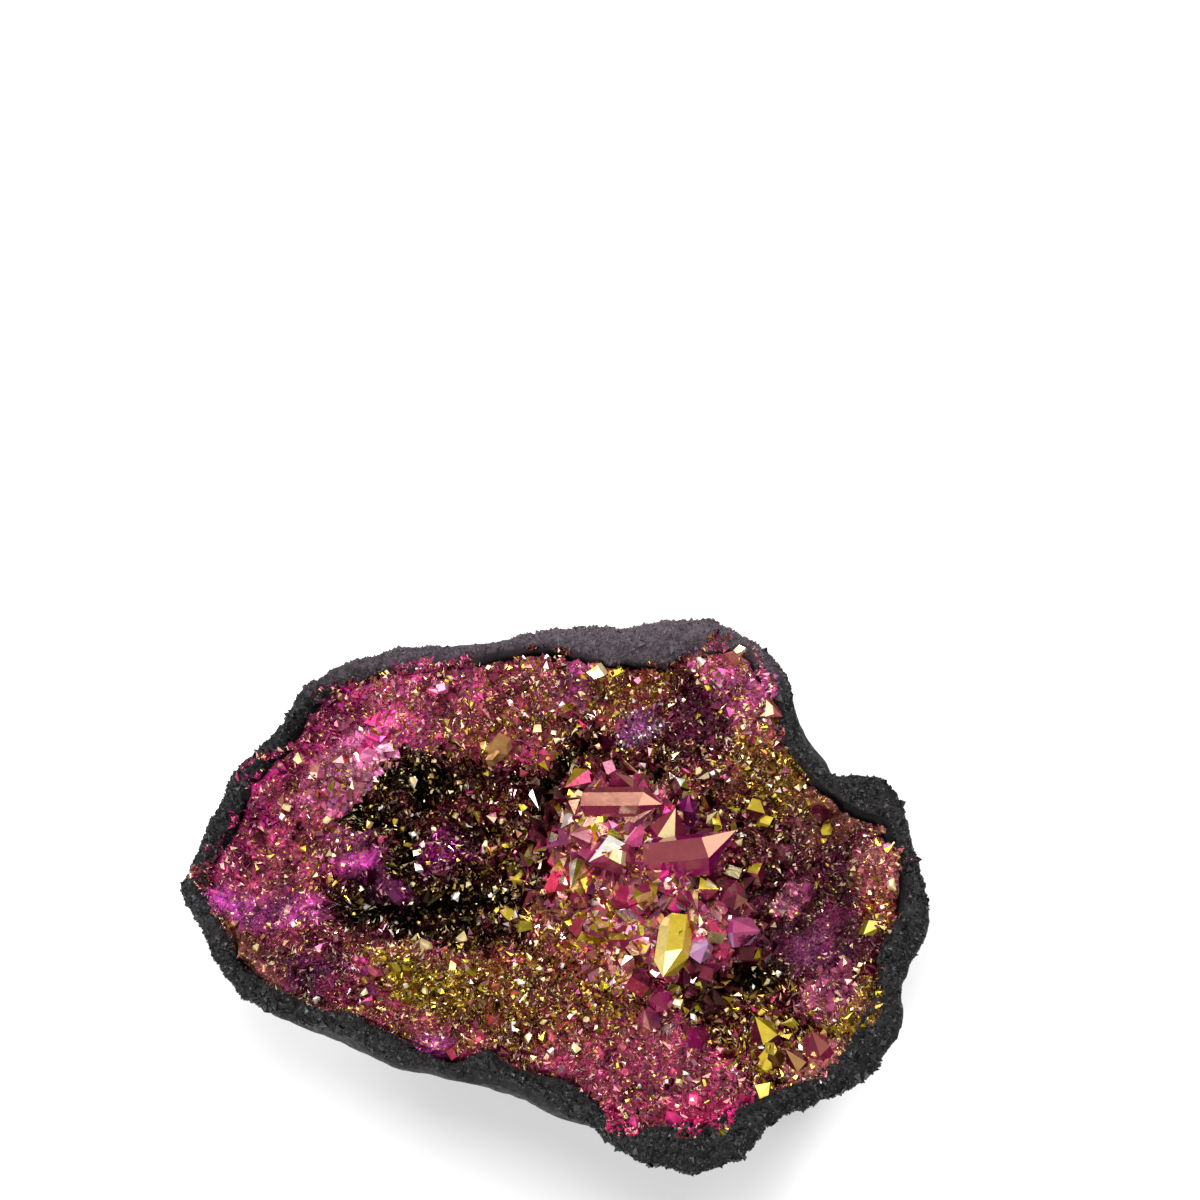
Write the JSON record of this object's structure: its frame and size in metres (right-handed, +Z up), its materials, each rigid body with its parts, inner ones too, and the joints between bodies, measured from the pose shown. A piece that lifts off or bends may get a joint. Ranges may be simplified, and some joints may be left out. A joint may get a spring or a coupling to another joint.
{
  "type": "geode half",
  "caption": "Half of a cracked geode lying on its rounded back: a bowl of dark stone lined with pointed, gold-tinted magenta quartz crystals around a deep pit.",
  "frame": {"origin": "on the ground under the middle of the stone", "axes": "+Z up, out of the hollow; +X along the longest side of the broken face, to the right in the reference view; +Y away from the viewer"},
  "size_m": [0.1053, 0.0824, 0.0358],
  "materials": {
    "rind": "dark charcoal stone, granular on the broken edge and smoother outside",
    "crystals": "magenta-dyed quartz points with a thin gold metallic coating, glossy"
  },
  "bodies": {
    "root": {"rind": "rind", "crystal_crust": "crystals"}
  },
  "joints": []
}
